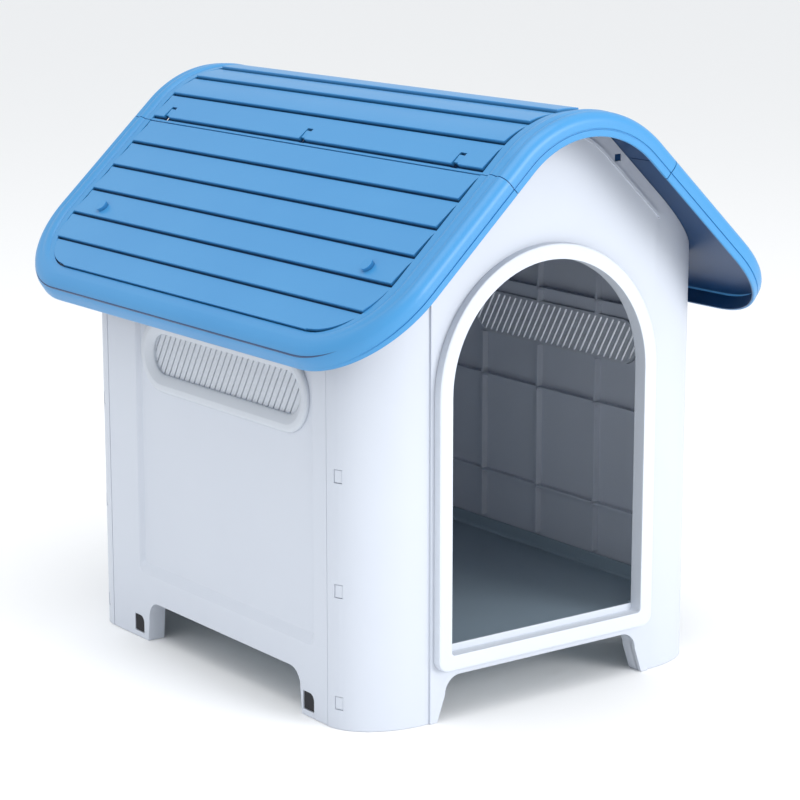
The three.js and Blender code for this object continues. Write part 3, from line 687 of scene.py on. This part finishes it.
def nodeTree(name, inputs):
    tree = bpy.data.node_groups.new(name, "GeometryNodeTree")
    tree.interface.new_socket("Geometry", in_out="OUTPUT", socket_type="NodeSocketGeometry")
    for label, kind, value in inputs:
        socket = tree.interface.new_socket(label, in_out="INPUT", socket_type=kind)
        if kind != "NodeSocketMaterial":
            socket.default_value = value
    return tree, tree.nodes.new("NodeGroupInput"), tree.nodes.new("NodeGroupOutput")


def grown(tree, name, values, material):
    obj = bpy.data.objects.new(name, bpy.data.meshes.new(name))
    bpy.context.collection.objects.link(obj)
    step = obj.modifiers.new("grow", "NODES")
    step.node_group = tree
    for item in tree.interface.items_tree:
        if item.in_out == "INPUT" and item.name in values:
            step[item.identifier] = values[item.name]
        if item.in_out == "INPUT" and item.name == "Material":
            step[item.identifier] = material
    return baked(obj)


# leaning slats in a row, longer than the rounded opening they are trimmed to
def slatTree():
    F, I = "NodeSocketFloat", "NodeSocketInt"
    tree, given, out = nodeTree("vent slats", [
        ("Count", I, 28), ("Pitch", F, 0.01), ("Wide", F, 0.006), ("Thick", F, 0.003), ("Lean", F, 0.5),
        ("Tall", F, 0.08), ("X", F, 0.2), ("Middle", F, 0.0), ("Height", F, 0.3),
        ("Material", "NodeSocketMaterial", None)])
    value = {s.name: Sum(tree, s) for s in given.outputs if s.name}
    start = value["Middle"] - (value["Count"] - 1) * value["Pitch"] / 2
    first = addNode(tree, "ShaderNodeCombineXYZ", values={"X": value["X"], "Y": start, "Z": value["Height"]})
    offset = addNode(tree, "ShaderNodeCombineXYZ", values={"Y": value["Pitch"]})
    line = addNode(tree, "GeometryNodeMeshLine", values={
        "Count": value["Count"], "Start Location": first.outputs[0], "Offset": offset.outputs[0]})
    size = addNode(tree, "ShaderNodeCombineXYZ", values={
        "X": value["Thick"], "Y": value["Wide"], "Z": value["Tall"]})
    slat = addNode(tree, "GeometryNodeMeshCube", values={"Size": size.outputs[0]})
    turn = addNode(tree, "ShaderNodeCombineXYZ", values={"X": value["Lean"]})
    spread = addNode(tree, "GeometryNodeInstanceOnPoints", values={
        "Points": line.outputs[0], "Instance": slat.outputs[0], "Rotation": turn.outputs[0]})
    real = addNode(tree, "GeometryNodeRealizeInstances", values={"Geometry": spread.outputs[0]})
    paint = addNode(tree, "GeometryNodeSetMaterial", values={
        "Geometry": real.outputs[0], "Material": value["Material"].socket})
    tree.links.new(paint.outputs[0], out.inputs[0])
    return tree


# equal bars in a row: the stiffening ribs inside a side panel
def barTree():
    F, I, V = "NodeSocketFloat", "NodeSocketInt", "NodeSocketVector"
    tree, given, out = nodeTree("bars in a row", [
        ("Count", I, 3), ("Start", V, (0, 0, 0)), ("Step", V, (0, 0.1, 0)), ("Size", V, (0.003, 0.003, 0.3)),
        ("Material", "NodeSocketMaterial", None)])
    value = {s.name: s for s in given.outputs if s.name}
    line = addNode(tree, "GeometryNodeMeshLine", values={
        "Count": value["Count"], "Start Location": value["Start"], "Offset": value["Step"]})
    bar = addNode(tree, "GeometryNodeMeshCube", values={"Size": value["Size"]})
    spread = addNode(tree, "GeometryNodeInstanceOnPoints", values={
        "Points": line.outputs[0], "Instance": bar.outputs[0]})
    real = addNode(tree, "GeometryNodeRealizeInstances", values={"Geometry": spread.outputs[0]})
    paint = addNode(tree, "GeometryNodeSetMaterial", values={
        "Geometry": real.outputs[0], "Material": value["Material"]})
    tree.links.new(paint.outputs[0], out.inputs[0])
    return tree


# finishes

def linear(value):
    value /= 255
    return value / 12.92 if value <= 0.04045 else ((value + 0.055) / 1.055) ** 2.4


def plastic(name, colour, shade, roughness, grain=0.02, bump=0.05, painted_shade_colour=None):
    material = bpy.data.materials.new(name)
    material.use_nodes = True
    tree = material.node_tree
    shader = tree.nodes["Principled BSDF"]
    shader.inputs["IOR"].default_value = 1.49
    where = addNode(tree, "ShaderNodeTexCoord").outputs["Object"]
    clouds = addNode(tree, "ShaderNodeTexNoise", values={"Vector": where, "Scale": 7.0, "Detail": 3.0})
    fine = addNode(tree, "ShaderNodeTexNoise", values={"Vector": where, "Scale": 1400.0, "Detail": 2.0})
    patch, speck = Sum(tree, clouds.outputs[0]), Sum(tree, fine.outputs[0])
    colours = addNode(tree, "ShaderNodeMix", {"data_type": "RGBA"}, {0: patch})
    colours.inputs[6].default_value = [linear(c) for c in colour] + [1]
    colours.inputs[7].default_value = [linear(c) for c in shade] + [1]
    # painted shade: where the painted-shade mark is set, the base colour turns towards the given darker
    # colour
    if painted_shade_colour:
        painted_shade = addNode(tree, "ShaderNodeAttribute", {"attribute_name": "painted_shade"})
        toned = addNode(tree, "ShaderNodeMix", {"data_type": "RGBA"}, {0: painted_shade.outputs["Fac"]})
        toned.inputs[7].default_value = [linear(c) for c in painted_shade_colour] + [1]
        tree.links.new(colours.outputs[2], toned.inputs[6])
        colours = toned
    tree.links.new(colours.outputs[2], shader.inputs["Base Color"])
    rough = roughness - 0.04 + patch * 0.06 + speck * grain
    tree.links.new(rough.socket, shader.inputs["Roughness"])
    relief = addNode(tree, "ShaderNodeBump", values={"Height": speck, "Strength": bump, "Distance": 0.0002})
    tree.links.new(relief.outputs[0], shader.inputs["Normal"])
    return material


finishes = {
    # painted shade: the dark navy is painted into the roof's groove floors and underside for the shade there
    "roof_plastic": plastic("blue roof plastic", (66, 144, 199), (58, 136, 193), 0.36, painted_shade_colour=(16, 58, 100)),
    # painted shade: the pegs are coloured dark navy to stand in for the shadow in their recesses
    "peg_plastic": plastic("peg navy painted shade", (12, 36, 70), (9, 30, 60), 0.4),
    "wall_plastic": plastic("cool white wall plastic", (203, 209, 219), (198, 204, 215), 0.42),
    "surround_plastic": plastic("white surround plastic", (212, 218, 227), (207, 213, 223), 0.38),
    "vent_plastic": plastic("white vent plastic", (202, 208, 216), (197, 203, 212), 0.45),
    # painted shade: the floor is greyer than its white-grey plastic, standing in for the shade inside the
    # kennel
    "floor_plastic": plastic("grey floor plastic", (150, 168, 180), (142, 160, 173), 0.3),
    "foot_rubber": plastic("black foot rubber", (40, 40, 44), (32, 32, 36), 0.8, 0.1, 0.4),
}


def finished(obj, name, body, slot, *nodes):
    obj.name = name
    obj.data.name = name
    obj.data.materials.clear()
    obj.data.materials.append(finishes[slot])
    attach(obj, body)
    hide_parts(*nodes)
    print("made", name, len(obj.data.polygons), "faces")
    return obj


# the kennel

print("roof")
rightLid = buildLid()
leftLid = mirrored(rightLid, "left_lid")
finished(buildCap(), "ridge_cap", "root", "roof_plastic", "roof_ridge_cap")
finished(rightLid, "right_lid", "right_roof", "roof_plastic", "right_roof_panel")
finished(leftLid, "left_lid", "left_roof", "roof_plastic", "left_roof_panel")
for y, end in zip(pegs["places"], ("front", "rear")):
    head, top, under = pegs["head"], pegs["headTop"], pegs["headTop"] + pegs["headTall"]
    profile = [(pegs["shank"] - 0.8, pegs["reach"]), (pegs["shank"], pegs["reach"] - 1.5),
               (pegs["shank"], under), (head, under), (head, top + 0.8), (head - 0.8, top),
               (3.2, top + 0.2), (2.6, top + 1.4)]
    peg = smoothed(slopeRound(y, profile, "peg"))
    other = mirrored(peg, "peg_left")
    finished(peg, "right_" + end + "_peg", "right_roof", "peg_plastic", "roof_lock_peg_" + end + "_right")
    finished(other, "left_" + end + "_peg", "left_roof", "peg_plastic", "roof_lock_peg_" + end + "_left")

print("walls")
finished(gablePanel(-1), "front_wall", "root", "wall_plastic", "front_panel")
finished(gablePanel(1), "rear_wall", "root", "wall_plastic", "rear_panel")
finished(buildSurround(), "doorway_surround", "root", "surround_plastic", "door_surround")

bars = barTree()
inner = side["inner"]
upright = grown(bars, "upright_ribs", {
    "Count": 3, "Start": ((inner - ribs["tall"] / 2) * mm, -ribs["spacing"] * mm, 0.279),
    "Step": (0, ribs["spacing"] * mm, 0), "Size": ((ribs["tall"] + 1) * mm, ribs["wide"] * mm, 0.382)}, None)
level = grown(bars, "level_ribs", {
    "Count": 3, "Start": ((inner - ribs["tall"] / 2) * mm, -0.005, ribs["low"] * mm),
    "Step": (0, 0, ribs["step"] * mm), "Size": ((ribs["tall"] + 1) * mm, 0.43, ribs["wide"] * mm)}, None)
rightSide = sidePanel()
for bar in (upright, level):
    combine(bar, prism(stadium(vent["neck"] + vent["fit"] - vent["rim"]), "x", 200, 300))
smoothed(joinedTo(rightSide, [upright, level]), 20)
leftSide = mirrored(rightSide, "left_side", 20)
finished(rightSide, "right_side", "root", "wall_plastic", "right_side_panel")
finished(leftSide, "left_side", "root", "wall_plastic", "left_side_panel")


def buildVent():
    base = walls["half"] - side["recess"] + 0.3
    top, inside = walls["half"], inner - vent["inside"]
    wall = vent["rim"] - vent["neck"]
    section = [(0, base), (0, base + 1.6), (-0.7, top - 1.6), (-2.4, top - 0.3), (-4.2, top),
               (-vent["flat"] + 1.2, top), (-vent["flat"], top - 0.4), (-vent["rim"] + 2, base + 0.6),
               (-vent["rim"], base - 1.6), (-vent["rim"], inside), (-wall, inside), (-wall, base)]
    rings = [[(x, u, v) for u, v in stadium(grow)] for grow, x in section]
    frameRing = smoothed(loft("vent_ring", rings, True, True), 26)
    slats = grown(slatTree(), "slats", {
        "Count": vent["count"], "Pitch": vent["pitch"] * mm, "Wide": vent["slatWide"] * mm,
        "Thick": vent["slatThick"] * mm, "Lean": math.radians(vent["lean"]),
        "X": (inside + 0.6 + vent["slatThick"] / 2) * mm, "Middle": vent["middle"] * mm,
        "Height": vent["height"] * mm, "Tall": 2 * vent["tall"] * mm}, None)
    combine(slats, prism(stadium(1 - vent["rim"]), "x", 200, 300), "INTERSECT")
    return joinedTo(frameRing, [smoothed(slats)])


print("vents and floor")
rightVent = buildVent()
leftVent = mirrored(rightVent, "left_vent")
finished(rightVent, "right_vent", "root", "vent_plastic", "right_vent_grille")
finished(leftVent, "left_vent", "root", "vent_plastic", "left_vent_grille")
finished(buildTray(), "floor_pan", "root", "floor_plastic", "floor_tray")
for name in ("foot_plug_front_left", "foot_plug_front_right", "foot_plug_rear_left", "foot_plug_rear_right"):
    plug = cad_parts[name].copy()
    plug.data = plug.data.copy()
    bpy.context.collection.objects.link(plug)
    plug.parent = None
    plug.matrix_world = Matrix()
    cleaned(plug)
    finished(smoothed(softened(plug, 0.9, 2)), name + "_rubber", "root", "foot_rubber", name)


# floor, light and camera

stage = dict(size=90, grey=0.97)
print("stage")
bpy.ops.mesh.primitive_plane_add(size=stage["size"], location=(0, 0, -0.0005))
ground = bpy.context.object
ground.name = "ground"
paper = bpy.data.materials.new("pale floor")
paper.use_nodes = True
paper.node_tree.nodes["Principled BSDF"].inputs["Base Color"].default_value = [stage["grey"]] * 3 + [1]
paper.node_tree.nodes["Principled BSDF"].inputs["Roughness"].default_value = 0.9
ground.data.materials.append(paper)

world = bpy.data.worlds.new("studio")
world.use_nodes = True
world.node_tree.nodes["Background"].inputs[0].default_value = (0.96, 0.98, 1.0, 1)
world.node_tree.nodes["Background"].inputs[1].default_value = 0.9
bpy.context.scene.world = world


def softbox(name, location, target, size, power):
    light = bpy.data.lights.new(name, "AREA")
    light.shape = "RECTANGLE"
    light.size, light.size_y = size
    light.energy = power
    obj = bpy.data.objects.new(name, light)
    bpy.context.collection.objects.link(obj)
    obj.location = location
    obj.rotation_euler = (Vector(target) - Vector(location)).to_track_quat("-Z", "Y").to_euler()
    return obj


softbox("key", (1.2, -3.6, 1.3), (0, 0, 0.35), (1.9, 1.5), 74)
softbox("top", (-0.7, -0.5, 3.4), (0, 0, 0.3), (2.6, 2.6), 46)
softbox("left", (-3.4, -1.0, 1.5), (0, 0, 0.35), (1.4, 1.4), 3)
bpy.context.scene.view_settings.view_transform = "Standard"

shot = dict(azimuth=-36.5177, elevation=12.3674, distance=3.0417, lens=115.617, across=0.0166, height=0.2871)
turn, rise = math.radians(shot["azimuth"]), math.radians(shot["elevation"])
right = Vector((math.cos(turn), math.sin(turn), 0))
towards = Vector((math.sin(turn) * math.cos(rise), -math.cos(turn) * math.cos(rise), math.sin(rise)))
camera = bpy.data.objects.new("camera", bpy.data.cameras.new("camera"))
bpy.context.collection.objects.link(camera)
camera.location = right * shot["across"] + Vector((0, 0, shot["height"])) + towards * shot["distance"]
camera.rotation_euler = (math.pi / 2 - rise, 0, turn)
camera.data.lens = shot["lens"]
camera.data.sensor_width = 36
bpy.context.scene.camera = camera
